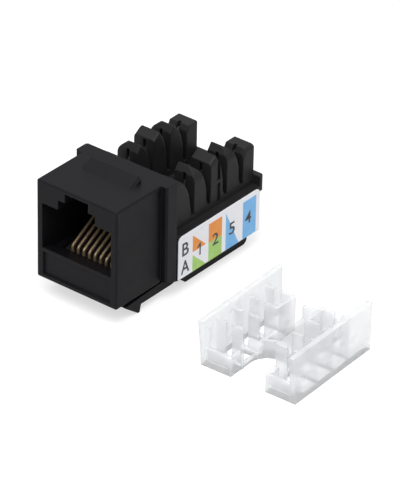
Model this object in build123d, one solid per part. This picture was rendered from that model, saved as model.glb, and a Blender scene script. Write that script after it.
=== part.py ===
from build123d import *
from math import radians, tan
import os

# A snap-in jack for a plug of eight contacts, lying on its base cover, with its wiring cap beside it.
# X runs across the jack, Y from its front face to the rear, and Z up from the surface it lies on.

# Heights of the base cover, the board inside and the rear housing
cover_height = 2.4
spigot_height = 0.9
board_thickness = 1.2
ledge_height = 7.15
housing_z = cover_height
board_bottom_z = housing_z + spigot_height
board_top_z = board_bottom_z + board_thickness
ledge_z = housing_z + ledge_height

# Front block, collar and the catch bar on top
block_half_width = 7.25
block_depth = 9.6
block_height = 15.8
block_rise = 0.5
block_bottom_z = housing_z + block_rise
block_top_z = block_bottom_z + block_height
block_edge_radius = 0.3
body_half_width = 8.32
collar_depth = 2.5
collar_front_lift = 0.9
collar_edge_chamfer = 0.25
collar_rear_y = block_depth + collar_depth
catch_half_width = 4.7
catch_front_y = 6.0
catch_depth = 2.3
catch_flat = 0.25
catch_height = 1.1
catch_end_chamfer = 0.5

# Plug port, its latch notch, its lip and the bare panel below it
port_half_width = 6.25
port_height = 7.2
port_rise = 5.07
port_rear_wall = 1.2
notch_step_half_widths = (3.35, 2.1)
notch_step_heights = (1.53, 1.43)
lip_depth = 3.0
lip_drop = 0.92
panel_half_width = 6.1
panel_height = 3.8
panel_rise = 0.7
panel_recess = 0.3
port_floor_z = block_bottom_z + port_rise
port_roof_z = port_floor_z + port_height
port_rear_y = collar_rear_y - port_rear_wall
lip_inner_z = port_floor_z - lip_drop

# Springy latch arm under the block, one moulding with it
arm_half_width = 7.0
arm_front_y = 2.48
arm_front_z = 2.17
arm_nose_thickness = 0.25
arm_root_z = 2.72
arm_bottom_z = 1.19
arm_tail_length = 1.9
arm_tail_rise = 0.8
arm_tail_radius = 1.2
hook_tip_y = 5.1
hook_tip_flat = 0.35
hook_stop_lean = 0.3

# Contact wires and the carrier that holds them
contact_count = 8
contact_pitch = 1.02
wire_diameter = 0.46
wire_clearance = 0.12
wire_front_y = 3.45
wire_rise_angle = 30.0
wire_rise_start_z = 7.7
wire_end_depth = 0.35
wire_bend_radius = 0.5
pin_row_offset = 1.3
pin_row_spacing = 1.1
pin_projection = 0.3
carrier_half_width = 5.2
carrier_clearance = 0.1
carrier_rail_width = 1.1
carrier_slope_front_z = 6.5
carrier_slope_rear_z = 8.0
carrier_height = 8.05
carrier_nose_radius = 0.35
comb_slot_depth = 0.7
comb_slot_height = 4.4
room_floor_z = 4.75
tail_z = room_floor_z + wire_clearance + wire_diameter / 2
carrier_bottom_z = tail_z + wire_diameter / 2 + wire_clearance
carrier_top_z = room_floor_z + carrier_height

# Rear housing
housing_side_wall = 0.97
housing_front_wall = 1.2
housing_rear_wall = 0.85
housing_roof = 1.25
board_step = 1.0
rear_lip_depth = 1.0
rear_lip_drop = 0.85
rear_lip_rise = 1.5
rear_lip_radius = 0.7

# Tower rows with a wire slit between each two posts
slit_count = 4
slit_pitch = 3.69
slit_width = 0.6
slit_floor_rise = 1.02
first_slit_offset = 4.88
last_slit_to_rear = 2.7
tower_inner_x = 3.33
tower_width = 3.71
crest_z = 17.45
crest_setback = 0.6
post_shoulder_drop = 0.95
post_foot_rise = 1.9
middle_crest_z = 17.9
middle_setback = 1.1
middle_shoulder_drop = 0.95
middle_lead_height = 3.0
middle_lead_setback = 0.3
middle_rear_drop = 1.0
end_post_z = 16.1
end_post_chamfer = 0.75
outer_round_drop = 2.0
outer_round_width = 1.0
outer_round_radius = 0.9
inner_chamfer = 0.35
split_offset = 1.8
split_width = 0.65
split_depth = 0.9
split_floor_rise = 4.15
recess_depth = 0.3
recess_bottom_rise = 0.55
recess_top_rise = 3.65
tower_outer_x = tower_inner_x + tower_width
slit_floor_z = ledge_z + slit_floor_rise
first_slit_y = collar_rear_y + first_slit_offset
housing_rear_y = first_slit_y + (slit_count - 1) * slit_pitch + last_slit_to_rear

# Fork blades that cut into the wires
blade_x = 5.1
blade_thickness = 0.4
blade_clearance = 0.06
blade_width = 2.2
blade_top_z = 15.3
blade_mouth_width = 1.3
blade_mouth_depth = 1.1
blade_slot_width = 0.3
blade_slot_depth = 4.4
blade_pin_width = 0.6
pin_hole_clearance = 0.1

# Base cover
cover_half_width = 7.1
cover_front_gap = 0.15
cover_nose_height = 1.3
cover_nose_length = 1.6
cover_rear_inset = 1.0
cover_rear_radius = 1.0
cover_wall = 0.9
cover_side_radius = 0.35

# Printed wiring label on the right side
label_thickness = 0.1
label_margin = 0.12
label_corner_radius = 0.9

# Wiring cap, which lies upside down beside the jack
cap_half_width = 8.0
cap_length = 17.67
cap_height = 7.63
cap_wall = 0.8
cap_plate = 0.9
cap_front_lean = 0.82
cap_center = (29.64, 9.64)
cap_turn = 1.78
cap_slit_shift = -0.63
pusher_height = 6.5
pusher_clearance = 0.1
outer_pusher_width = 1.55
inner_pusher_width = 1.75
spine_inner_x = 2.2
spine_width = 0.6
spine_low_height = 2.8
notch_radius = 2.9
notch_center_y = -4.2
notch_wall = 0.6
notch_wall_reach = 1.55
corner_box_height = 3.0
corner_box_length = 2.4
corner_box_wall = 0.55
corner_window_height = 1.3
corner_window_rise = 1.1
corner_window_depth = 0.25
window_margin = 0.1
rear_bar_width = 0.6

contact_xs = [(i - (contact_count - 1) / 2) * contact_pitch for i in range(contact_count)]
slit_ys = [first_slit_y + i * slit_pitch for i in range(slit_count)]
cover_flat_front_y = collar_rear_y + arm_tail_length + cover_front_gap + cover_nose_length
cover_rear_y = housing_rear_y - cover_rear_inset
rest_center_y = (cover_flat_front_y + cover_rear_y - cover_rear_radius) / 2


def side_view(*points):
    """Face drawn in the side view from points of Y and Z."""
    return Plane.YZ * Polygon(*points, align=None)


def front_view(*points):
    """Face drawn in the front view from points of X and Z."""
    return Plane.XZ * Polygon(*points, align=None)


def rounded(face, radius, *corners):
    """The face with the corners nearest to the given points rounded."""
    vertices = [face.vertices().sort_by_distance(corner)[0] for corner in corners]
    return fillet(vertices, radius)


def across(face, x_from, x_to):
    """Solid made by pushing a side-view face along X."""
    return Pos(x_from, 0, 0) * extrude(face, amount=x_to - x_from, dir=(1, 0, 0))


def rearward(face, y_from, y_to):
    """Solid made by pushing a front-view face along Y."""
    return Pos(0, y_from, 0) * extrude(face, amount=y_to - y_from, dir=(0, 1, 0))


def room(half_width, y_from, y_to, z_from, z_to):
    """Box that is centred across the jack and given by its ends along Y and Z."""
    size = (2 * half_width, y_to - y_from, z_to - z_from)
    return Pos(0, y_from, z_from) * Box(*size, align=(Align.CENTER, Align.MIN, Align.MIN))


def slab(x_from, x_to, y_from, y_to, z_from, z_to):
    """Box given by its ends along the three axes."""
    size = (x_to - x_from, y_to - y_from, z_to - z_from)
    return Pos(x_from, y_from, z_from) * Box(*size, align=(Align.MIN, Align.MIN, Align.MIN))


def both_sides(shape):
    """The shape together with its mirror image across the middle plane."""
    return shape + mirror(shape, about=Plane.YZ)


def port_outline():
    """Outline of the plug port with the two steps of its latch notch."""
    right = [(port_half_width, port_floor_z), (port_half_width, port_roof_z)]
    step_z = port_roof_z
    for half_width, height in zip(notch_step_half_widths, notch_step_heights):
        right.append((half_width, step_z))
        step_z += height
        right.append((half_width, step_z))
    left = [(-x, z) for x, z in reversed(right)]
    return front_view(*right, *left)


def latch_arm():
    """Arm with its hook, a profile across the jack that the collar carries at the rear."""
    tail_y = collar_rear_y + arm_tail_length
    tail_corner = (tail_y - arm_tail_rise, arm_bottom_z)
    hook_rear_y = hook_tip_y + hook_tip_flat
    profile = side_view(
        (arm_front_y, arm_front_z),
        (collar_rear_y, arm_root_z),
        (collar_rear_y, housing_z),
        (tail_y, housing_z),
        tail_corner,
        (hook_rear_y + hook_stop_lean, arm_bottom_z),
        (hook_rear_y, 0),
        (hook_tip_y, 0),
        (arm_front_y, arm_front_z - arm_nose_thickness),
    )
    profile = rounded(profile, arm_tail_radius, (0, *tail_corner))
    return across(profile, -arm_half_width, arm_half_width)


def front_housing():
    """Block with the port, its collar, catch bar and latch arm, moulded in one."""
    block = room(block_half_width, 0, block_depth, block_bottom_z, block_top_z)
    front_edges = block.faces().sort_by(Axis.Y)[0].edges()
    block = fillet(front_edges + block.edges().filter_by(Axis.Y), block_edge_radius)

    collar = across(
        side_view(
            (block_depth, housing_z + collar_front_lift),
            (block_depth, block_top_z),
            (collar_rear_y, block_top_z),
            (collar_rear_y, housing_z),
        ),
        -body_half_width,
        body_half_width,
    )
    collar = chamfer(collar.edges().filter_by(Axis.Z), collar_edge_chamfer)

    catch_rear_y = catch_front_y + catch_depth
    catch = across(
        side_view(
            (catch_front_y, block_top_z),
            (catch_rear_y - catch_flat, block_top_z + catch_height),
            (catch_rear_y, block_top_z + catch_height),
            (catch_rear_y, block_top_z),
        ),
        -catch_half_width,
        catch_half_width,
    )
    catch_ends = catch.faces().filter_by(Axis.X).edges().filter_by(Axis.Z, reverse=True)
    upper_ends = [edge for edge in catch_ends if edge.center().Z > block_top_z + catch_height / 4]
    catch = chamfer(upper_ends, catch_end_chamfer)

    port = rearward(port_outline(), 0, port_rear_y)
    lip = across(
        side_view(
            (0, port_floor_z),
            (lip_depth, lip_inner_z),
            (port_rear_y, lip_inner_z),
            (port_rear_y, port_floor_z),
        ),
        -port_half_width,
        port_half_width,
    )
    carrier_room = room(
        carrier_half_width + carrier_clearance,
        lip_depth,
        collar_rear_y,
        room_floor_z,
        carrier_top_z + carrier_clearance,
    )
    panel_z = block_bottom_z + panel_rise
    panel = room(panel_half_width, 0, panel_recess, panel_z, panel_z + panel_height)
    return block + collar + catch + latch_arm() - port - lip - carrier_room - panel


def contact_carrier():
    """Insert with a sloping bed under the wires and a comb for their free ends."""
    nose_y = wire_front_y + wire_diameter / 2 + wire_clearance
    profile = side_view(
        (nose_y, carrier_bottom_z),
        (nose_y, carrier_slope_front_z),
        (port_rear_y, carrier_slope_rear_z),
        (port_rear_y, carrier_top_z),
        (collar_rear_y, carrier_top_z),
        (collar_rear_y, carrier_bottom_z),
    )
    profile = rounded(profile, carrier_nose_radius, (0, nose_y, carrier_slope_front_z))
    body = across(profile, -carrier_half_width, carrier_half_width)
    rail = slab(
        carrier_half_width - carrier_rail_width,
        carrier_half_width,
        nose_y,
        collar_rear_y,
        room_floor_z,
        carrier_bottom_z,
    )
    slot_half = wire_diameter / 2 + wire_clearance
    slots = [
        slab(
            x - slot_half,
            x + slot_half,
            port_rear_y,
            port_rear_y + comb_slot_depth,
            carrier_top_z - comb_slot_height,
            carrier_top_z,
        )
        for x in contact_xs
    ]
    return body + both_sides(rail) - slots


def pin_y(index):
    """Depth of a contact's pin, in one of two staggered rows."""
    row = index % 2
    return collar_rear_y + housing_front_wall + pin_row_offset + row * pin_row_spacing


def contact_wire(index):
    """Round wire from its pin in the board, round the carrier's nose, up to the comb."""
    x = contact_xs[index]
    end_y = port_rear_y + wire_end_depth
    end_z = wire_rise_start_z + (end_y - wire_front_y) * tan(radians(wire_rise_angle))
    path = FilletPolyline(
        (x, pin_y(index), board_bottom_z - pin_projection),
        (x, pin_y(index), tail_z),
        (x, wire_front_y, tail_z),
        (x, wire_front_y, wire_rise_start_z),
        (x, end_y, end_z),
        radius=wire_bend_radius,
    )
    section = Plane(origin=path @ 0, z_dir=path % 0) * Circle(wire_diameter / 2)
    return sweep(section, path=path)


def circuit_board():
    """Board that the wires and the blades are soldered into."""
    board = room(
        body_half_width - housing_side_wall - carrier_clearance,
        collar_rear_y + housing_front_wall + carrier_clearance,
        housing_rear_y - housing_rear_wall - carrier_clearance,
        board_bottom_z,
        board_top_z,
    )
    middle_z = (board_bottom_z + board_top_z) / 2
    wire_hole = Cylinder(wire_diameter / 2 + pin_hole_clearance, board_thickness)
    blade_hole = Cylinder(blade_pin_width / 2 + pin_hole_clearance, board_thickness)
    holes = [Pos(x, pin_y(i), middle_z) * wire_hole for i, x in enumerate(contact_xs)]
    holes += [Pos(x, y, middle_z) * blade_hole for x in (-blade_x, blade_x) for y in slit_ys]
    return board - holes


def post_outlines():
    """Side outlines of the five posts of a row, from the collar to the rear."""
    base_z = ledge_z - housing_roof / 2
    foot_z = slit_floor_z + post_foot_rise
    half_slit = slit_width / 2
    fronts = [collar_rear_y] + [y + half_slit for y in slit_ys]
    rears = [y - half_slit for y in slit_ys] + [housing_rear_y]
    outlines = []
    for index, (front_y, rear_y) in enumerate(zip(fronts, rears)):
        if index == slit_count:
            points = [
                (front_y, base_z),
                (front_y, end_post_z - end_post_chamfer),
                (front_y + end_post_chamfer, end_post_z),
                (rear_y, end_post_z),
                (rear_y, base_z),
            ]
            outlines.append(side_view(*points))
        elif index == slit_count // 2:
            lead_z = middle_crest_z - middle_lead_height
            shoulder_z = middle_crest_z - middle_shoulder_drop
            rear_z = middle_crest_z - middle_rear_drop
            points = [
                (front_y, base_z),
                (front_y, lead_z),
                (front_y + middle_lead_setback, shoulder_z),
                (front_y + middle_setback, middle_crest_z),
                (rear_y - crest_setback, rear_z),
                (rear_y, lead_z),
                (rear_y, base_z),
            ]
            corner = (0, rear_y - crest_setback, rear_z)
            outlines.append(rounded(side_view(*points), crest_setback, corner))
        else:
            outlines.append(wave_outline(front_y, rear_y, base_z, foot_z, index == 0))
    return outlines


def wave_outline(front_y, rear_y, base_z, foot_z, starts_flat):
    """Post with an upright front, a crest behind it and a long rounded fall to the rear."""
    fall = slit_pitch - slit_width - crest_setback
    crest_y = rear_y - fall
    shoulder_z = crest_z if starts_flat else crest_z - post_shoulder_drop
    lines = Polyline(
        (crest_y, crest_z),
        (front_y, shoulder_z),
        (front_y, base_z),
        (rear_y, base_z),
        (rear_y, foot_z),
    )
    curve = EllipticalCenterArc((crest_y, foot_z), fall, crest_z - foot_z)
    return Plane.YZ * make_face(lines.edges() + curve.edges())


def row_envelope(top_z):
    """Front view that trims the posts of a row: chamfered inside, rounded over outside."""
    outer_top = (tower_outer_x - outer_round_width, top_z - inner_chamfer)
    outer_low = (tower_outer_x, top_z - outer_round_drop)
    profile = front_view(
        (tower_inner_x, ledge_z - housing_roof / 2),
        (tower_inner_x, top_z - inner_chamfer),
        (tower_inner_x + inner_chamfer, top_z),
        outer_top,
        outer_low,
        (tower_outer_x, ledge_z - housing_roof / 2),
    )
    corners = [(outer_top[0], 0, outer_top[1]), (outer_low[0], 0, outer_low[1])]
    return rearward(rounded(profile, outer_round_radius, *corners), collar_rear_y, housing_rear_y)


def tower_row():
    """Right-hand row of posts on its common base, with the split in its middle post."""
    base_z = ledge_z - housing_roof / 2
    row = slab(tower_inner_x, tower_outer_x, collar_rear_y, housing_rear_y, base_z, slit_floor_z)
    for index, outline in enumerate(post_outlines()):
        tops = {slit_count: end_post_z, slit_count // 2: middle_crest_z}
        envelope = row_envelope(tops.get(index, crest_z))
        row += across(outline, tower_inner_x, tower_outer_x) & envelope
    split_y = slit_ys[slit_count // 2 - 1] + split_offset
    split_z = ledge_z + split_floor_rise
    split = across(
        side_view(
            (split_y, middle_crest_z),
            (split_y, split_z + split_width),
            (split_y + split_width / 2, split_z),
            (split_y + split_width, split_z + split_width),
            (split_y + split_width, middle_crest_z),
        ),
        tower_outer_x - split_depth,
        tower_outer_x,
    )
    recess = slab(
        tower_outer_x - recess_depth,
        tower_outer_x,
        split_y,
        split_y + split_width,
        ledge_z + recess_bottom_rise,
        ledge_z + recess_top_rise,
    )
    return row - split - recess


def rear_lip():
    """Upstand across the rear of the housing, rounded at its outer corners."""
    lip = room(
        body_half_width,
        housing_rear_y,
        housing_rear_y + rear_lip_depth,
        ledge_z - rear_lip_drop,
        ledge_z + rear_lip_rise,
    )
    rear_face = lip.faces().sort_by(Axis.Y)[-1]
    return fillet(rear_face.edges().filter_by(Axis.Z), rear_lip_radius)


def idc_block():
    """Rear housing, open below for the board, with its two rows of slotted posts."""
    body = room(body_half_width, collar_rear_y, housing_rear_y, housing_z, ledge_z)
    body = body + rear_lip() + both_sides(tower_row())
    cavity_front_y = collar_rear_y + housing_front_wall
    cavity_rear_y = housing_rear_y - housing_rear_wall
    cavity_half = body_half_width - housing_side_wall
    board_room = room(cavity_half, cavity_front_y, cavity_rear_y, housing_z, board_top_z)
    upper_room = room(
        cavity_half - board_step,
        cavity_front_y + board_step,
        cavity_rear_y - board_step,
        board_top_z,
        ledge_z - housing_roof,
    )
    wire_door = room(
        contact_xs[-1] + wire_diameter,
        collar_rear_y,
        cavity_front_y + board_step,
        room_floor_z,
        carrier_bottom_z,
    )
    slot = Box(
        blade_thickness + 2 * blade_clearance,
        blade_width + 2 * blade_clearance,
        crest_z - board_top_z,
        align=(Align.CENTER, Align.CENTER, Align.MIN),
    )
    slots = [Pos(x, y, board_top_z) * slot for x in (-blade_x, blade_x) for y in slit_ys]
    return body - board_room - upper_room - wire_door - slots


def fork_blade(x, y):
    """Flat fork with a flared mouth, its shoulders on the board and its pin through it."""
    half_width = blade_width / 2
    half_mouth = blade_mouth_width / 2
    half_slot = blade_slot_width / 2
    half_pin = blade_pin_width / 2
    mouth_z = blade_top_z - blade_mouth_depth
    right = [
        (half_pin, board_bottom_z - pin_projection),
        (half_pin, board_top_z),
        (half_width, board_top_z),
        (half_width, blade_top_z - blade_mouth_depth / 2),
        (half_mouth, blade_top_z),
        (half_slot, mouth_z),
        (half_slot, mouth_z - blade_slot_depth),
    ]
    left = [(-u, z) for u, z in reversed(right)]
    plate = across(side_view(*right, *left), -blade_thickness / 2, blade_thickness / 2)
    return Pos(x, y, 0) * plate


def base_cover():
    """Cover with a bowed underside and a spigot that holds the board up in the housing."""
    nose_y = cover_flat_front_y - cover_nose_length
    profile = side_view(
        (nose_y, cover_height),
        (nose_y, cover_nose_height),
        (cover_flat_front_y, 0),
        (cover_rear_y, 0),
        (cover_rear_y, cover_height),
    )
    profile = rounded(profile, cover_rear_radius, (0, cover_rear_y, 0))
    shell = across(profile, -cover_half_width, cover_half_width)
    long_edges = shell.faces().sort_by(Axis.Z)[0].edges().filter_by(Axis.Y)
    shell = fillet(long_edges, cover_side_radius)
    spigot_front_y = collar_rear_y + housing_front_wall + carrier_clearance
    spigot_rear_y = housing_rear_y - housing_rear_wall - carrier_clearance
    spigot_half = body_half_width - housing_side_wall - carrier_clearance
    spigot = room(spigot_half, spigot_front_y, spigot_rear_y, housing_z, board_bottom_z)
    pin_room = room(
        cover_half_width - cover_wall,
        spigot_front_y + cover_wall,
        spigot_rear_y - cover_wall,
        board_bottom_z - pin_projection - wire_clearance,
        board_bottom_z,
    )
    hollow = room(
        cover_half_width - cover_wall,
        cover_flat_front_y,
        cover_rear_y - cover_wall - cover_rear_radius,
        cover_wall,
        board_bottom_z,
    )
    return shell + spigot - pin_room - hollow


def wiring_label():
    """Thin printed label over the whole right side of the rear housing."""
    front_y = collar_rear_y + label_margin
    rear_y = housing_rear_y - label_margin
    bottom_z = housing_z + label_margin
    top_z = ledge_z - label_margin
    face = side_view((front_y, bottom_z), (rear_y, bottom_z), (rear_y, top_z), (front_y, top_z))
    corners = [(0, y, top_z) for y in (front_y, rear_y)]
    face = rounded(face, label_corner_radius, *corners)
    return across(face, body_half_width, body_half_width + label_thickness)


def cap_side():
    """Right-hand wall of the cap with its outer pushers and the box at its front corner."""
    half_length = cap_length / 2
    wall = across(
        side_view(
            (-half_length, 0),
            (half_length, 0),
            (half_length, cap_height),
            (-half_length - cap_front_lean, cap_height),
        ),
        cap_half_width - cap_wall,
        cap_half_width,
    )
    inner_x = notch_radius
    box_rear_y = corner_box_length - half_length
    corner = slab(inner_x, cap_half_width, -half_length, box_rear_y, 0, corner_box_height)
    well = slab(
        inner_x + corner_box_wall,
        cap_half_width - cap_wall,
        corner_box_wall - half_length,
        box_rear_y,
        cap_plate,
        corner_box_height,
    )
    window = slab(
        inner_x + corner_box_wall,
        cap_half_width - cap_wall,
        -half_length,
        corner_window_depth - half_length,
        corner_window_rise,
        corner_window_rise + corner_window_height,
    )
    return wall + corner - well - window


def cap_pushers():
    """Right-hand plates that press the wires into the slits, on both sides of each blade."""
    half = slit_width / 2 - pusher_clearance / 2
    wall_x = cap_half_width - cap_wall
    spine_x = spine_inner_x + spine_width
    plates = []
    for y in cap_slit_ys():
        plates.append(slab(wall_x - outer_pusher_width, wall_x, y - half, y + half, 0, pusher_height))
        plates.append(slab(spine_x, spine_x + inner_pusher_width, y - half, y + half, 0, pusher_height))
    ys = cap_slit_ys()
    low_front_y = notch_center_y + notch_wall_reach
    plates.append(slab(spine_inner_x, spine_x, low_front_y, ys[2] + half, 0, spine_low_height))
    plates.append(slab(spine_inner_x, spine_x, ys[2] - half, ys[3] + half, 0, pusher_height))
    return plates


def cap_slit_ys():
    """Places of the housing's slits along the cap, from its notched end."""
    middle = (slit_count - 1) / 2
    return [cap_slit_shift + (i - middle) * slit_pitch for i in range(slit_count)]


def terminal_cap():
    """Cap as it lies, its flat outside down and its walls up, open at one end for the cable."""
    half_length = cap_length / 2
    plate = Rectangle(2 * cap_half_width, cap_length)
    notch = Pos(0, notch_center_y) * Circle(notch_radius)
    notch += Pos(0, notch_center_y) * Rectangle(
        2 * notch_radius, half_length + notch_center_y, align=(Align.CENTER, Align.MAX)
    )
    half_bar = slit_width / 2 - pusher_clearance / 2 + window_margin
    ys = cap_slit_ys()
    window_starts = [y + half_bar for y in ys]
    window_ends = [y - half_bar for y in ys[1:]] + [half_length]
    window_width = cap_half_width - cap_wall - window_margin - tower_inner_x + window_margin
    windows = Sketch()
    for start, end in zip(window_starts, window_ends):
        window = Rectangle(window_width, end - start, align=(Align.MIN, Align.MIN))
        windows += Pos(tower_inner_x - window_margin, start) * window
    windows += mirror(windows, about=Plane.YZ)
    cap = extrude(plate - notch - windows, amount=cap_plate)

    ring = Circle(notch_radius + notch_wall) - Circle(notch_radius)
    reach = Pos(0, notch_wall_reach) * Rectangle(
        2 * (spine_inner_x + spine_width), 2 * notch_radius, align=(Align.CENTER, Align.MIN)
    )
    notch_rim = Pos(0, notch_center_y) * extrude(ring & reach, amount=spine_low_height)
    rear_bar = room(
        tower_inner_x - window_margin,
        half_length - rear_bar_width,
        half_length,
        0,
        spine_low_height,
    )
    cap += both_sides(cap_side() + cap_pushers()) + notch_rim + rear_bar
    return Pos(*cap_center, 0) * Rot(0, 0, cap_turn) * cap


def build():
    """All nodes by name, still in the frame that starts at the front face."""
    nodes = {
        "front_housing": front_housing(),
        "contact_carrier": contact_carrier(),
        "circuit_board": circuit_board(),
        "idc_block": idc_block(),
        "base_cover": base_cover(),
        "wiring_label": wiring_label(),
        "terminal_cap": terminal_cap(),
    }
    for index in range(contact_count):
        nodes[f"contact_{index + 1}"] = contact_wire(index)
    places = [(x, y) for x in (-blade_x, blade_x) for y in slit_ys]
    for index, (x, y) in enumerate(places):
        nodes[f"idc_blade_{index + 1}"] = fork_blade(x, y)
    return nodes


os.makedirs("parts", exist_ok=True)
# The origin is the middle of the flat that the jack rests on
for name, shape in build().items():
    export_step(Pos(0, -rest_center_y, 0) * shape, f"parts/{name}.step")
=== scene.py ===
import math

import bmesh
import bpy
from mathutils import Matrix, Vector


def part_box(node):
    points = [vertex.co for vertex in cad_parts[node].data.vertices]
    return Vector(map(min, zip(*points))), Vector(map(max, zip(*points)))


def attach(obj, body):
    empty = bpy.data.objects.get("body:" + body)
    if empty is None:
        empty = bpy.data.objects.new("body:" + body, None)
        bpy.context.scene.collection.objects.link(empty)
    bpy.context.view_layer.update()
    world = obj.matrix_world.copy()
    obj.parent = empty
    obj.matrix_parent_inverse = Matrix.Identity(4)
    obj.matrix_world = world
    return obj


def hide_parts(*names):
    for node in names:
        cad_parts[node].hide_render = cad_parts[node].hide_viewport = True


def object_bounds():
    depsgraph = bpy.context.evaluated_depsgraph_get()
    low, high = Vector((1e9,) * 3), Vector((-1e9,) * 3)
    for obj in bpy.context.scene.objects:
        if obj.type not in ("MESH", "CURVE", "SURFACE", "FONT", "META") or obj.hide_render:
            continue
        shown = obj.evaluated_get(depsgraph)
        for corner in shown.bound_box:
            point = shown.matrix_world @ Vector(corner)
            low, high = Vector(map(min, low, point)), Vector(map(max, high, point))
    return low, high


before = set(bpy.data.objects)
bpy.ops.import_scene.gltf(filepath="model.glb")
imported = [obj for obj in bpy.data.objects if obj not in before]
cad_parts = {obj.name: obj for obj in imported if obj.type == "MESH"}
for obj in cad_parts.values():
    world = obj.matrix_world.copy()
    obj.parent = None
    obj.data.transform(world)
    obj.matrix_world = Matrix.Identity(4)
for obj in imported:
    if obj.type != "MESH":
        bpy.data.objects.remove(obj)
cad_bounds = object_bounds()
MM = 0.001
X, Y, Z = range(3)

# Tones of each material, from its darker patches to its lighter ones
FRONT_BLACK = (0.0055, 0.0053, 0.0070), (0.0072, 0.0070, 0.0090)
# Rear housing and base cover: a lighter black than the front moulding, painted light that stands in
# for the light reaching between the wire posts
REAR_BLACK_PAINTED_LIGHT = (0.0145, 0.0145, 0.015), (0.0175, 0.0175, 0.018)
# Contact carrier: lighter than the front moulding, painted light that stands in for the light inside
# the port
INSERT_BLACK_PAINTED_LIGHT = (0.015, 0.015, 0.016), (0.019, 0.019, 0.020)
GOLD = (0.40, 0.285, 0.17), (0.50, 0.36, 0.22)
TIN = (0.22, 0.20, 0.16), (0.32, 0.30, 0.26)
MILK = (0.85, 0.855, 0.875), (0.89, 0.895, 0.91)
LABEL_WHITE = (0.86, 0.86, 0.90), (0.88, 0.88, 0.92)
INK_ORANGE = (0.80, 0.27, 0.035), (0.86, 0.31, 0.045)
INK_GREEN = (0.36, 0.60, 0.14), (0.41, 0.66, 0.17)
INK_BLUE = (0.17, 0.45, 0.80), (0.20, 0.50, 0.86)
INK_GREY = (0.035, 0.037, 0.045), (0.05, 0.052, 0.06)
BOARD_GREEN = (0.02, 0.16, 0.06), (0.03, 0.2, 0.08)
BOARD_WEAVE_LINE = (0.015, 0.12, 0.05)
CLEAR_TINT = (0.97, 0.975, 0.98)

# Roughness of each material, from its smoother patches to its duller ones
BLACK_ROUGHNESS = 0.42, 0.52
INSERT_ROUGHNESS = 0.45, 0.55
GOLD_ROUGHNESS = 0.42, 0.52
TIN_ROUGHNESS = 0.28, 0.45
FILM_ROUGHNESS = 0.38, 0.47
MILK_ROUGHNESS = 0.25, 0.35
BOARD_ROUGHNESS = 0.35

# Fine relief and softened edges
BLACK_RELIEF = 0.006 * MM
TIN_RELIEF = 0.003 * MM
FILM_RELIEF = 0.002 * MM
MILK_RELIEF = 0.004 * MM
EDGE_RADIUS = 0.16 * MM
EDGE_SAMPLES = 6

# Sheen of the black and the gold
BLACK_SPECULAR = 0.16
GOLD_METALLIC = 0.75

# Noise: its roughness, and the stops between which a material's roughness and tone drift
NOISE_ROUGHNESS = 0.55
ROUGHNESS_STOPS = 0.3, 0.7
TONE_STOPS = 0.35, 0.65

# Milky cap: how dense it is on its walls and on its upward rims, whose extra density paints a
# highlight on them, and how dense it is to the light that casts its shadow
WALL_HAZE = 0.36
RIM_HAZE_PAINTED_HIGHLIGHT = 0.52
RIM_NORMAL_Z = 0.9
SHADOW_CLEARING = 0.5
MILK_DEPTH = 2 * MM

# The photograph's camera, found from the jack's own edges
IMAGE_HEIGHT_PX = 500
FOCAL_PX = 4000.0
SENSOR_MM = 36.0
CAMERA_AZIMUTH = math.radians(38.2205)
CAMERA_ELEVATION = math.radians(31.5879)
CAMERA_ROLL = math.radians(1.1147)
CAMERA_DISTANCE = 559.4759 * MM
CAMERA_RIGHT = 17.3045 * MM
CAMERA_UP = 7.5501 * MM
CAMERA_TARGET_Z = 1.1 * MM
CAMERA_NEAR = 0.01
CAMERA_FAR = 20

# Floor, lamp and surroundings
FLOOR_RADIUS = 3.0
FLOOR_SEGMENTS = 96
FLOOR_BOUNCE_ALBEDO = 0.62
FLOOR_SEEN_ALBEDO = 0.42
FLOOR_SEEN_LIFT = 0.62
SKY_HORIZON = 0.22
SKY_TOP = 1.22
KEY_AZIMUTH = math.radians(28)
KEY_ELEVATION = math.radians(64)
KEY_DISTANCE = 0.7
KEY_SIZE = 0.45
KEY_POWER = 3.2

# Wiring label in millimetres, measured from its front lower corner: along the jack, and up
FIELD_WIDTH = 3.0
FIELD_STARTS = [3.15, 6.74, 10.63, 14.55]
FIELD_TOP = 6.13
FIELD_MIDDLE = 3.08
FIRST_ORANGE_BASE = 3.23
FIRST_ORANGE_TOP = 5.98
FIRST_GREEN_TOP = 2.76
PRINT_THICKNESS = 0.012
# How far the built-in font's outlines are widened, in its own units
STROKE_WEIGHT = 0.012
# Each character with its middle, base, width and height
CHARACTERS = {
    "letter_b": ("B", 1.53, 3.5, 1.45, 2.12),
    "letter_a": ("A", 1.5, 0.6, 1.85, 2.1),
    "digit_2": ("2", 8.28, 2.13, 1.38, 1.92),
    "digit_5": ("5", 12.03, 2.13, 1.35, 1.95),
    "digit_4": ("4", 15.76, 2.18, 1.42, 1.96),
}
# Outline of the plain figure one, which the built-in font draws too broad
DIGIT_ONE = [
    (4.68, 2.05),
    (4.96, 2.05),
    (4.96, 4.05),
    (4.74, 4.05),
    (4.16, 3.58),
    (4.16, 3.28),
    (4.68, 3.62),
]

# Wire posts of the rear housing in millimetres, in the row's frame
HOUSING_LOW, HOUSING_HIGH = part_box("idc_block")
REAR_LIP_DEPTH = 1.0
POST_ROW_FRONT = HOUSING_LOW[Y] / MM
POST_ROW_REAR = HOUSING_HIGH[Y] / MM - REAR_LIP_DEPTH
POST_INNER_X = 3.33
POST_OUTER_X = 7.04
LEDGE_Z = 9.55
LIP_TOP_Z = 11.05
SLIT_FLOOR_Z = 10.57
SLIT_HALF_WIDTH = 0.32
# The slits lie over the middles of the blades, which are 5 to 8 on the right
BLADES = [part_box("idc_blade_%d" % number) for number in (5, 6, 7, 8)]
SLIT_YS = [(low[Y] + high[Y]) / 2 / MM for low, high in BLADES]
FALL_LENGTH = 3.4
FALL_FOOT_Z = 12.0
FALL_STEPS = 12
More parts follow.
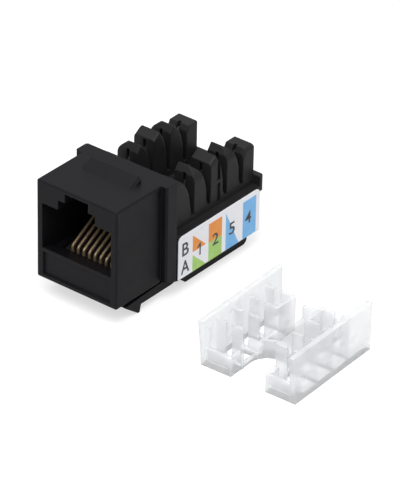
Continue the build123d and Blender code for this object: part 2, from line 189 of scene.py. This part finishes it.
# Height of each post's front wall, how far back its ridge is, and the height of its fall
POST_SHAPES = [(17.3, 0.0, 5.3), (16.5, 0.7, 5.8), (16.9, 1.3, 6.6), (16.5, 0.7, 5.8)]
END_POST_WALL_Z = 15.2
END_POST_SETBACK = 0.45
END_POST_TOP_Z = 16.0
POST_OUTER_BEVEL = 0.5
POST_INNER_BEVEL = 0.28
POST_BEVEL_SEGMENTS = 3
# The second and fourth posts curve down towards the outside like a quarter ellipse
SHOULDER_WIDTH = 2.6
SHOULDER_HEIGHT = 2.2
SHOULDER_TOP_Z = 17.55
SHOULDER_STEPS = 7
# Slots that clear the blades, and the split and the recess in each middle post
BLADE_FACE_CLEARANCE = 0.06
BLADE_EDGE_CLEARANCE = 0.07
BLADE_SLOT_TOP_Z = 16.6
SPLIT_Y = 0.22
SPLIT_WIDTH = 0.65
SPLIT_DEPTH = 0.9
SPLIT_FLOOR_Z = 13.7
RECESS_DEPTH = 0.3
RECESS_BOTTOM_Z = 10.1
RECESS_TOP_Z = 13.2
# Base under the posts, and the room that is cleared for them in the housing
BASE_DEPTH = 0.3
BASE_INSET = 0.01
ROOM_HALF_WIDTH = 8
ROOM_TOP_Z = 20
ROOM_MARGIN = 1
ROOM_END_MARGIN = 0.5
ROOM_SKIN = 0.02
WELD_DISTANCE = 0.001 * MM


def empty_material(name):
    """A node material with nothing but its output."""
    material = bpy.data.materials.new(name)
    material.use_nodes = True
    nodes = material.node_tree.nodes
    nodes.clear()
    output = nodes.new("ShaderNodeOutputMaterial")
    return material, nodes, material.node_tree.links, output


def shaded_material(name):
    """A node material with one shader that is linked to its output."""
    material, nodes, links, output = empty_material(name)
    shader = nodes.new("ShaderNodeBsdfPrincipled")
    links.new(shader.outputs["BSDF"], output.inputs["Surface"])
    return material, nodes, links, shader, output


def object_noise(nodes, links, scale, detail, stretch=(1, 1, 1)):
    """Noise in the object's own space, at a scale given per metre."""
    coords = nodes.new("ShaderNodeTexCoord")
    mapping = nodes.new("ShaderNodeMapping")
    mapping.inputs["Scale"].default_value = stretch
    noise = nodes.new("ShaderNodeTexNoise")
    noise.inputs["Scale"].default_value = scale
    noise.inputs["Detail"].default_value = detail
    noise.inputs["Roughness"].default_value = NOISE_ROUGHNESS
    links.new(coords.outputs["Object"], mapping.inputs["Vector"])
    links.new(mapping.outputs["Vector"], noise.inputs["Vector"])
    return noise


def map_range(nodes, sources, targets):
    """A node that maps one range of values onto another."""
    ramp = nodes.new("ShaderNodeMapRange")
    names = "From Min", "From Max", "To Min", "To Max"
    for name, value in zip(names, (*sources, *targets)):
        ramp.inputs[name].default_value = value
    return ramp


def vary_roughness(nodes, links, shader, noise, roughness):
    """Roughness that drifts with the noise."""
    ramp = map_range(nodes, ROUGHNESS_STOPS, roughness)
    links.new(noise.outputs["Fac"], ramp.inputs["Value"])
    links.new(ramp.outputs["Result"], shader.inputs["Roughness"])


def vary_tone(nodes, links, shader, noise, tones):
    """Base colour that drifts between two tones with the noise."""
    ramp = nodes.new("ShaderNodeValToRGB")
    for element, stop, tone in zip(ramp.color_ramp.elements, TONE_STOPS, tones):
        element.position = stop
        element.color = (*tone, 1)
    links.new(noise.outputs["Fac"], ramp.inputs["Fac"])
    links.new(ramp.outputs["Color"], shader.inputs["Base Color"])


def add_relief(nodes, links, shader, noise, height, edge_radius=0.0):
    """Fine relief of a given height, over edges softened by the given radius."""
    bump = nodes.new("ShaderNodeBump")
    bump.inputs["Distance"].default_value = height
    if edge_radius:
        edge = nodes.new("ShaderNodeBevel")
        edge.samples = EDGE_SAMPLES
        edge.inputs["Radius"].default_value = edge_radius
        links.new(edge.outputs["Normal"], bump.inputs["Normal"])
    links.new(noise.outputs["Fac"], bump.inputs["Height"])
    links.new(bump.outputs["Normal"], shader.inputs["Normal"])


def black_plastic(name, tones, roughness):
    """Moulded black plastic with a fine spark-eroded grain and a slight mottle in its sheen."""
    material, nodes, links, shader, _ = shaded_material(name)
    mottle = object_noise(nodes, links, scale=260, detail=3)
    grain = object_noise(nodes, links, scale=9000, detail=3)
    vary_tone(nodes, links, shader, mottle, tones)
    vary_roughness(nodes, links, shader, mottle, roughness)
    add_relief(nodes, links, shader, grain, BLACK_RELIEF, EDGE_RADIUS)
    shader.inputs["Specular IOR Level"].default_value = BLACK_SPECULAR
    return material


def gold_plating():
    """Thin gold over round spring wire, with faint drawing lines."""
    material, nodes, links, shader, _ = shaded_material("gold_plating")
    drift = object_noise(nodes, links, scale=700, detail=2)
    lines = object_noise(nodes, links, scale=5000, detail=2, stretch=(3, 0.2, 0.2))
    vary_tone(nodes, links, shader, drift, GOLD)
    vary_roughness(nodes, links, shader, lines, GOLD_ROUGHNESS)
    shader.inputs["Metallic"].default_value = GOLD_METALLIC
    return material


def tin_plating():
    """Dulled tin on the stamped blades."""
    material, nodes, links, shader, _ = shaded_material("tin_plating")
    drift = object_noise(nodes, links, scale=1200, detail=3)
    vary_tone(nodes, links, shader, drift, TIN)
    vary_roughness(nodes, links, shader, drift, TIN_ROUGHNESS)
    add_relief(nodes, links, shader, drift, TIN_RELIEF)
    shader.inputs["Metallic"].default_value = 1.0
    return material


def solder_mask():
    """Green board with its glass weave just showing."""
    material, nodes, links, shader, _ = shaded_material("solder_mask")
    weave = nodes.new("ShaderNodeTexBrick")
    coords = nodes.new("ShaderNodeTexCoord")
    weave.inputs["Scale"].default_value = 1500
    for socket, tone in zip(("Color1", "Color2", "Mortar"), (*BOARD_GREEN, BOARD_WEAVE_LINE)):
        weave.inputs[socket].default_value = (*tone, 1)
    links.new(coords.outputs["Object"], weave.inputs["Vector"])
    links.new(weave.outputs["Color"], shader.inputs["Base Color"])
    shader.inputs["Roughness"].default_value = BOARD_ROUGHNESS
    return material


def printed_film(name, tones):
    """Printed plastic film: a smooth satin ink with a little unevenness."""
    material, nodes, links, shader, _ = shaded_material(name)
    drift = object_noise(nodes, links, scale=900, detail=3)
    grain = object_noise(nodes, links, scale=12000, detail=2)
    vary_tone(nodes, links, shader, drift, tones)
    vary_roughness(nodes, links, shader, drift, FILM_ROUGHNESS)
    add_relief(nodes, links, shader, grain, FILM_RELIEF)
    return material


def haze_density(nodes, links):
    """Density of the milky haze: more on upward rims, where it paints a highlight, and less for the
    light that casts the shadow.
    """
    surface = nodes.new("ShaderNodeNewGeometry")
    split = nodes.new("ShaderNodeSeparateXYZ")
    haze = map_range(nodes, (0.0, RIM_NORMAL_Z), (WALL_HAZE, RIM_HAZE_PAINTED_HIGHLIGHT))
    path = nodes.new("ShaderNodeLightPath")
    clearing = map_range(nodes, (0.0, 1.0), (1.0, SHADOW_CLEARING))
    density = nodes.new("ShaderNodeMath")
    density.operation = "MULTIPLY"
    links.new(surface.outputs["True Normal"], split.inputs[0])
    links.new(split.outputs["Z"], haze.inputs["Value"])
    links.new(path.outputs["Is Shadow Ray"], clearing.inputs["Value"])
    links.new(haze.outputs["Result"], density.inputs[0])
    links.new(clearing.outputs["Result"], density.inputs[1])
    return density.outputs[0]


def milky_plastic():
    """Clear plastic with a milky haze, which is densest on its upward rims, where it paints a
    highlight.
    """
    material, nodes, links, shader, output = shaded_material("milky_plastic")
    drift = object_noise(nodes, links, scale=300, detail=3)
    grain = object_noise(nodes, links, scale=7000, detail=2)
    vary_tone(nodes, links, shader, drift, MILK)
    vary_roughness(nodes, links, shader, drift, MILK_ROUGHNESS)
    add_relief(nodes, links, shader, grain, MILK_RELIEF)
    shader.inputs["Subsurface Weight"].default_value = 1.0
    shader.inputs["Subsurface Radius"].default_value = (1.0, 1.0, 1.0)
    shader.inputs["Subsurface Scale"].default_value = MILK_DEPTH
    clear = nodes.new("ShaderNodeBsdfTransparent")
    clear.inputs["Color"].default_value = (*CLEAR_TINT, 1)
    blend = nodes.new("ShaderNodeMixShader")
    links.new(haze_density(nodes, links), blend.inputs["Fac"])
    links.new(clear.outputs[0], blend.inputs[1])
    links.new(shader.outputs["BSDF"], blend.inputs[2])
    links.new(blend.outputs[0], output.inputs["Surface"])
    return material


def floor_material():
    """Pale floor that keeps the shadow and lifts to white where it is seen."""
    material, nodes, links, output = empty_material("pale_floor")
    bounce = nodes.new("ShaderNodeBsdfDiffuse")
    bounce.inputs["Color"].default_value = (FLOOR_BOUNCE_ALBEDO,) * 3 + (1,)
    seen = nodes.new("ShaderNodeBsdfDiffuse")
    seen.inputs["Color"].default_value = (FLOOR_SEEN_ALBEDO,) * 3 + (1,)
    glow = nodes.new("ShaderNodeEmission")
    glow.inputs["Strength"].default_value = FLOOR_SEEN_LIFT
    lifted = nodes.new("ShaderNodeAddShader")
    path = nodes.new("ShaderNodeLightPath")
    either = nodes.new("ShaderNodeMath")
    either.operation = "MAXIMUM"
    choice = nodes.new("ShaderNodeMixShader")
    links.new(path.outputs["Is Camera Ray"], either.inputs[0])
    links.new(path.outputs["Is Transmission Ray"], either.inputs[1])
    links.new(seen.outputs[0], lifted.inputs[0])
    links.new(glow.outputs[0], lifted.inputs[1])
    links.new(either.outputs[0], choice.inputs["Fac"])
    links.new(bounce.outputs[0], choice.inputs[1])
    links.new(lifted.outputs[0], choice.inputs[2])
    links.new(choice.outputs[0], output.inputs["Surface"])
    return material


def dress(node, material):
    """Gives a CAD node its material."""
    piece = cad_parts[node]
    piece.data.materials.clear()
    piece.data.materials.append(material)


def mesh_from(bm, name):
    """A mesh from a bmesh, which is freed."""
    mesh = bpy.data.meshes.new(name)
    bm.to_mesh(mesh)
    bm.free()
    return mesh


def add_object(name, data):
    """A new object in the scene."""
    item = bpy.data.objects.new(name, data)
    bpy.context.collection.objects.link(item)
    return item


def add_piece(name, mesh, material):
    """A new piece of the object, riding on the one body."""
    mesh.materials.append(material)
    piece = add_object(name, mesh)
    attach(piece, "root")
    return piece


def box_into(bm, low, high):
    """Adds a box between two corners given in millimetres."""
    made = bmesh.ops.create_cube(bm, size=MM)
    middle = [(a + b) / 2 * MM for a, b in zip(low, high)]
    size = [b - a for a, b in zip(low, high)]
    bmesh.ops.scale(bm, vec=size, verts=made["verts"])
    bmesh.ops.translate(bm, vec=middle, verts=made["verts"])


def cut(target, tool, name):
    """The first bmesh less the second, by Blender's exact boolean."""
    holders = [add_object(name, mesh_from(bm, name)) for bm in (target, tool)]
    modifier = holders[0].modifiers.new("cut", "BOOLEAN")
    modifier.operation = "DIFFERENCE"
    modifier.solver = "EXACT"
    modifier.object = holders[1]
    bpy.context.view_layer.update()
    graph = bpy.context.evaluated_depsgraph_get()
    result = bmesh.new()
    result.from_mesh(holders[0].evaluated_get(graph).to_mesh())
    for holder in holders:
        mesh = holder.data
        bpy.data.objects.remove(holder)
        bpy.data.meshes.remove(mesh)
    return result


def add_bmesh(target, source):
    """Adds one bmesh to another and frees it."""
    mesh = mesh_from(source, "part")
    target.from_mesh(mesh)
    bpy.data.meshes.remove(mesh)


def trim(bm, place, normal):
    """Takes away what lies beyond a plane and closes the cut."""
    geometry = bm.verts[:] + bm.edges[:] + bm.faces[:]
    bmesh.ops.bisect_plane(bm, geom=geometry, plane_co=place, plane_no=normal, clear_outer=True)
    bmesh.ops.holes_fill(bm, edges=[edge for edge in bm.edges if edge.is_boundary])


def below(axis, value):
    """Plane that leaves what is below a value on an axis."""
    place = [value * MM if i == axis else 0 for i in range(3)]
    normal = [1 if i == axis else 0 for i in range(3)]
    return place, normal


def above(axis, value):
    """Plane that leaves what is above a value on an axis."""
    place, normal = below(axis, value)
    return place, [-n for n in normal]


def fall(front, rear, setback, height):
    """Top of a post from its ridge to its rear edge, a stretch of an ellipse."""
    middle = rear - FALL_LENGTH
    ridge = max(front + setback, middle)
    start = math.acos((ridge - middle) / FALL_LENGTH)
    points = []
    for step in range(FALL_STEPS + 1):
        turn = start * (1 - step / FALL_STEPS)
        points.append((middle + FALL_LENGTH * math.cos(turn), FALL_FOOT_Z + height * math.sin(turn)))
    return points


def post_profiles():
    """Side outline of each post of a row, as points of Y and Z from its front foot."""
    fronts = [POST_ROW_FRONT] + [y + SLIT_HALF_WIDTH for y in SLIT_YS]
    rears = [y - SLIT_HALF_WIDTH for y in SLIT_YS]
    profiles = []
    for front, rear, (wall_z, setback, height) in zip(fronts, rears, POST_SHAPES):
        tops = fall(front, rear, setback, height)
        profiles.append([(front, SLIT_FLOOR_Z), (front, wall_z), *tops, (rear, SLIT_FLOOR_Z)])
    front = fronts[-1]
    last = [
        (front, SLIT_FLOOR_Z),
        (front, END_POST_WALL_Z),
        (front + END_POST_SETBACK, END_POST_TOP_Z),
        (POST_ROW_REAR, END_POST_TOP_Z),
        (POST_ROW_REAR, SLIT_FLOOR_Z),
    ]
    return profiles + [last]


def post_into(bm, profile):
    """Adds one right-hand post with its top edges rounded, more on the outside."""
    inner = [bm.verts.new((POST_INNER_X * MM, y * MM, z * MM)) for y, z in profile]
    outer = [bm.verts.new((POST_OUTER_X * MM, y * MM, z * MM)) for y, z in profile]
    faces = [bm.faces.new(inner), bm.faces.new(outer[::-1])]
    for i, _ in enumerate(profile):
        j = (i + 1) % len(profile)
        faces.append(bm.faces.new((inner[j], inner[i], outer[i], outer[j])))
    bmesh.ops.recalc_face_normals(bm, faces=faces)
    for verts, width in ((outer, POST_OUTER_BEVEL), (inner, POST_INNER_BEVEL)):
        bmesh.ops.bevel(
            bm,
            geom=[bm.edges.get(pair) for pair in zip(verts[1:-1], verts[2:-1])],
            offset=width * MM,
            offset_type="OFFSET",
            segments=POST_BEVEL_SEGMENTS,
            profile=0.5,
            affect="EDGES",
        )


def clipped_post(profile, planes):
    """The part of a post that some planes leave."""
    part = bmesh.new()
    post_into(part, profile)
    for place, normal in planes:
        trim(part, place, normal)
    return part


def shouldered_post(profile):
    """A post whose top curves down towards the outside."""
    post = bmesh.new()
    post_into(post, profile)
    for step in range(SHOULDER_STEPS):
        turn = math.radians(90) * (step + 0.5) / SHOULDER_STEPS
        x = POST_OUTER_X - SHOULDER_WIDTH * (1 - math.cos(turn))
        z = SHOULDER_TOP_Z - SHOULDER_HEIGHT * (1 - math.sin(turn))
        normal = (math.cos(turn) / SHOULDER_WIDTH, 0, math.sin(turn) / SHOULDER_HEIGHT)
        trim(post, (x * MM, 0, z * MM), normal)
    return post


def split_post(profile):
    """The parts of the middle post around its split, its recess and the web between them."""
    split_x = POST_OUTER_X - SPLIT_DEPTH
    recess_x = POST_OUTER_X - RECESS_DEPTH
    front = below(Y, SPLIT_Y)
    rear = above(Y, SPLIT_Y + SPLIT_WIDTH)
    between = [above(Y, SPLIT_Y), below(Y, SPLIT_Y + SPLIT_WIDTH)]
    upper = [above(X, split_x), above(Z, SPLIT_FLOOR_Z)]
    lower = [above(X, split_x), below(Z, SPLIT_FLOOR_Z), below(X, recess_x)]
    skin = [above(X, recess_x), below(Z, SPLIT_FLOOR_Z)]
    choices = [
        [*upper, front],
        [*upper, rear],
        lower,
        [*skin, front],
        [*skin, rear],
        [*skin, above(Z, RECESS_TOP_Z), *between],
    ]
    return [clipped_post(profile, planes) for planes in choices]


def blade_slots():
    """Boxes that clear the blades of one row."""
    slots = bmesh.new()
    for low, high in BLADES:
        near = (low[X] / MM - BLADE_FACE_CLEARANCE, low[Y] / MM - BLADE_EDGE_CLEARANCE)
        far = (high[X] / MM + BLADE_FACE_CLEARANCE, high[Y] / MM + BLADE_EDGE_CLEARANCE)
        box_into(slots, (*near, LEDGE_Z - ROOM_MARGIN), (*far, BLADE_SLOT_TOP_Z))
    return slots


def post_base():
    """Base under the posts of one row, with the foot of the recess."""
    base = bmesh.new()
    low = (POST_INNER_X, POST_ROW_FRONT + BASE_INSET, LEDGE_Z - BASE_DEPTH)
    box_into(base, low, (POST_OUTER_X, POST_ROW_REAR - BASE_INSET, SLIT_FLOOR_Z))
    tools = blade_slots()
    low = (POST_OUTER_X - RECESS_DEPTH, SPLIT_Y, RECESS_BOTTOM_Z)
    box_into(tools, low, (POST_OUTER_X + ROOM_MARGIN, SPLIT_Y + SPLIT_WIDTH, RECESS_TOP_Z))
    return cut(base, tools, "post_base")


def post_row():
    """Right-hand row of posts on its base, with the split and the recess in its middle post."""
    first, second, middle, fourth, last = post_profiles()
    posts = clipped_post(middle, [below(X, POST_OUTER_X - SPLIT_DEPTH)])
    post_into(posts, first)
    post_into(posts, last)
    for profile in (second, fourth):
        add_bmesh(posts, shouldered_post(profile))
    row = cut(posts, blade_slots(), "post_row")
    for part in split_post(middle):
        add_bmesh(row, part)
    add_bmesh(row, post_base())
    return row


def rear_housing(material):
    """Rear housing with its posts as finely shaped as the photograph shows them."""
    body = bmesh.new()
    body.from_mesh(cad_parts["idc_block"].data)
    bmesh.ops.remove_doubles(body, verts=body.verts, dist=WELD_DISTANCE)
    room = bmesh.new()
    low = (-ROOM_HALF_WIDTH, POST_ROW_FRONT - ROOM_MARGIN, LEDGE_Z + ROOM_SKIN)
    box_into(room, low, (ROOM_HALF_WIDTH, POST_ROW_REAR - ROOM_SKIN, ROOM_TOP_Z))
    body = cut(body, room, "housing_cut")
    end = bmesh.new()
    low = (-ROOM_HALF_WIDTH, POST_ROW_REAR - ROOM_MARGIN, LIP_TOP_Z + ROOM_SKIN)
    box_into(end, low, (ROOM_HALF_WIDTH, POST_ROW_REAR + ROOM_END_MARGIN, ROOM_TOP_Z))
    body = cut(body, end, "housing_top")
    left = post_row()
    bmesh.ops.scale(left, vec=(-1, 1, 1), verts=left.verts)
    bmesh.ops.reverse_faces(left, faces=left.faces)
    add_bmesh(body, left)
    add_bmesh(body, post_row())
    piece = add_piece("rear_housing", mesh_from(body, "rear_housing"), material)
    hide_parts("idc_block")


def label_plane():
    """Matrix from the label's drawing plane, front lower corner first, to the row frame."""
    low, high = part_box("wiring_label")
    corner = Vector((high[0], low[1], low[2]))
    turn = Matrix(((0, 0, 1), (1, 0, 0), (0, 1, 0))).to_4x4()
    return Matrix.Translation(corner) @ turn


def ink_patch(name, outline, material, lift=0.0):
    """Thin raised patch of ink with the outline given on the label's plane."""
    bm = bmesh.new()
    face = bm.faces.new([bm.verts.new((u * MM, v * MM, lift * MM)) for u, v in outline])
    grown = bmesh.ops.extrude_face_region(bm, geom=[face])
    moved = [item for item in grown["geom"] if isinstance(item, bmesh.types.BMVert)]
    bmesh.ops.translate(bm, verts=moved, vec=(0, 0, PRINT_THICKNESS * MM))
    bmesh.ops.recalc_face_normals(bm, faces=bm.faces)
    bmesh.ops.transform(bm, matrix=label_plane(), verts=bm.verts)
    piece = add_piece(name, mesh_from(bm, name), material)


def ink_character(name, material):
    """One printed character, fitted to its measured place and size."""
    character, middle, base, width, height = CHARACTERS[name]
    curve = bpy.data.curves.new(name, "FONT")
    curve.body = character
    curve.extrude = PRINT_THICKNESS * MM
    curve.offset = STROKE_WEIGHT
    holder = add_object(name + "_outline", curve)
    bpy.context.view_layer.update()
    mesh = bpy.data.meshes.new_from_object(holder)
    bpy.data.objects.remove(holder)
    us = [v.co.x for v in mesh.vertices]
    vs = [v.co.y for v in mesh.vertices]
    scale = (width * MM / (max(us) - min(us)), height * MM / (max(vs) - min(vs)), 1, 1)
    own_middle = (max(us) + min(us)) / 2
    place = Matrix.Translation((middle * MM, base * MM, PRINT_THICKNESS * MM))
    fit = Matrix.Diagonal(scale) @ Matrix.Translation((-own_middle, -min(vs), 0))
    mesh.transform(label_plane() @ place @ fit)
    piece = add_piece(name, mesh, material)


def triangle(start, bottom, top):
    """Half of a colour field, below the line that falls from its front top corner."""
    return [(start, bottom), (start + FIELD_WIDTH, bottom), (start, top)]


def band(start, bottom, top):
    """A colour field, or the upper or lower half of one."""
    return [(start, bottom), (start + FIELD_WIDTH, bottom), (start + FIELD_WIDTH, top), (start, top)]


def label_print():
    """Colour fields of the two wiring orders with their letters and numbers."""
    orange = printed_film("ink_orange", INK_ORANGE)
    green = printed_film("ink_green", INK_GREEN)
    blue = printed_film("ink_blue", INK_BLUE)
    grey = printed_film("ink_grey", INK_GREY)
    one, two, three, four = FIELD_STARTS
    ink_patch("field_one_orange", triangle(one, FIRST_ORANGE_BASE, FIRST_ORANGE_TOP), orange)
    ink_patch("field_one_green", triangle(one, 0, FIRST_GREEN_TOP), green)
    ink_patch("field_two_orange", band(two, FIELD_MIDDLE, FIELD_TOP), orange)
    ink_patch("field_two_green", band(two, 0, FIELD_MIDDLE), green)
    ink_patch("field_three_blue", triangle(three, 0, FIELD_TOP), blue)
    ink_patch("field_four_blue", band(four, 0, FIELD_TOP), blue)
    ink_patch("digit_1", DIGIT_ONE, grey, lift=PRINT_THICKNESS)
    for name in CHARACTERS:
        ink_character(name, grey)


def direction(azimuth, elevation):
    """Unit vector from the object towards a place around it, where azimuth 0 is in front."""
    level = math.cos(elevation)
    return Vector((math.sin(azimuth) * level, -math.cos(azimuth) * level, math.sin(elevation)))


def build_camera():
    """Camera at the photograph's place, looking along its fitted axes."""
    back = direction(CAMERA_AZIMUTH, CAMERA_ELEVATION)
    level = Vector((math.cos(CAMERA_AZIMUTH), math.sin(CAMERA_AZIMUTH), 0))
    upright = back.cross(level)
    right = math.cos(CAMERA_ROLL) * level + math.sin(CAMERA_ROLL) * upright
    up = -math.sin(CAMERA_ROLL) * level + math.cos(CAMERA_ROLL) * upright
    front_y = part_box("front_housing")[0][1]
    target = Vector((0, front_y, CAMERA_TARGET_Z))
    data = bpy.data.cameras.new("photo_camera")
    data.sensor_fit = "AUTO"
    data.sensor_width = SENSOR_MM
    data.lens = FOCAL_PX * SENSOR_MM / IMAGE_HEIGHT_PX
    data.clip_start = CAMERA_NEAR
    data.clip_end = CAMERA_FAR
    camera = add_object("photo_camera", data)
    place = target + right * CAMERA_RIGHT + up * CAMERA_UP + back * CAMERA_DISTANCE
    turn = Matrix((right, up, back)).transposed().to_4x4()
    camera.matrix_world = Matrix.Translation(place) @ turn
    bpy.context.scene.camera = camera


def build_stage():
    """Round pale floor."""
    bm = bmesh.new()
    bmesh.ops.create_circle(bm, cap_ends=True, segments=FLOOR_SEGMENTS, radius=FLOOR_RADIUS)
    mesh = mesh_from(bm, "floor")
    mesh.materials.append(floor_material())
    floor = add_object("floor", mesh)


def build_sky():
    """Soft surround that is brightest overhead."""
    world = bpy.data.worlds.new("studio")
    world.use_nodes = True
    nodes = world.node_tree.nodes
    links = world.node_tree.links
    coords = nodes.new("ShaderNodeTexCoord")
    split = nodes.new("ShaderNodeSeparateXYZ")
    rise = map_range(nodes, (0.0, 1.0), (SKY_HORIZON, SKY_TOP))
    links.new(coords.outputs["Generated"], split.inputs[0])
    links.new(split.outputs["Z"], rise.inputs["Value"])
    links.new(rise.outputs["Result"], nodes["Background"].inputs["Strength"])
    nodes["Background"].inputs["Color"].default_value = (1, 1, 1, 1)
    bpy.context.scene.world = world


def build_key_lamp():
    """Broad soft lamp above, which faces the middle of the object."""
    low, high = cad_bounds
    middle = (Vector(low) + Vector(high)) / 2
    data = bpy.data.lights.new("key", "AREA")
    data.shape = "SQUARE"
    data.size = KEY_SIZE
    data.energy = KEY_POWER
    lamp = add_object("key", data)
    away = direction(KEY_AZIMUTH, KEY_ELEVATION)
    lamp.location = middle + away * KEY_DISTANCE
    lamp.rotation_euler = away.to_track_quat("Z", "Y").to_euler()


bpy.context.scene.view_settings.view_transform = "Standard"
build_camera()
build_stage()
build_sky()
build_key_lamp()

front_black = black_plastic("black_moulding", FRONT_BLACK, BLACK_ROUGHNESS)
# Lighter copy of the black moulding: painted light for the rear housing's posts
rear_black_painted_light = black_plastic("rear_moulding_painted_light", REAR_BLACK_PAINTED_LIGHT, BLACK_ROUGHNESS)
# Lighter copy of the black moulding: painted light inside the port
insert_painted_light = black_plastic("carrier_black_painted_light", INSERT_BLACK_PAINTED_LIGHT, INSERT_ROUGHNESS)
gold = gold_plating()
tin = tin_plating()
dress("front_housing", front_black)
dress("base_cover", rear_black_painted_light)
dress("idc_block", rear_black_painted_light)
rear_housing(rear_black_painted_light)
dress("contact_carrier", insert_painted_light)
dress("circuit_board", solder_mask())
dress("wiring_label", printed_film("label_white", LABEL_WHITE))
dress("terminal_cap", milky_plastic())
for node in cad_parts:
    if node.startswith("contact_") and node != "contact_carrier":
        dress(node, gold)
    if node.startswith("idc_blade_"):
        dress(node, tin)
label_print()
